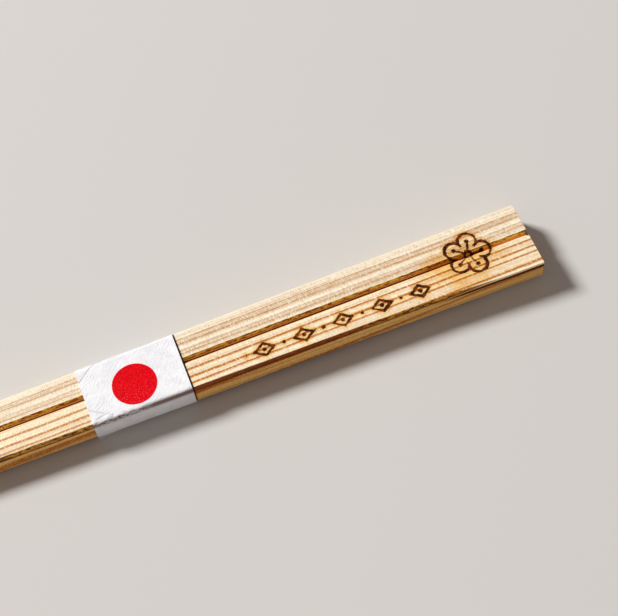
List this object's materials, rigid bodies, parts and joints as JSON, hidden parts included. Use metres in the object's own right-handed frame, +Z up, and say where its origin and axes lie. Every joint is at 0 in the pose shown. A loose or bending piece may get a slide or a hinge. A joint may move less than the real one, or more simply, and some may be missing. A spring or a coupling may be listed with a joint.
{
  "type": "pair of disposable wooden chopsticks",
  "caption": "Unsnapped disposable wooden chopsticks, grooved and slit between the sticks, held in a white paper band printed with a red disc.",
  "frame": {"origin": "under the middle of the length, on the plane that the paper band lies on", "axes": "+X along the sticks from the tips to the butt, +Y across the pair, +Z up"},
  "size_m": [0.203, 0.012, 0.0046],
  "materials": {
    "wood": "bare planed softwood, cream with orange-brown growth lines",
    "paper": "white fibrous paper with a printed red disc"
  },
  "bodies": {
    "root": {"chopstick_pair": "wood", "paper_band": "paper"}
  },
  "joints": []
}
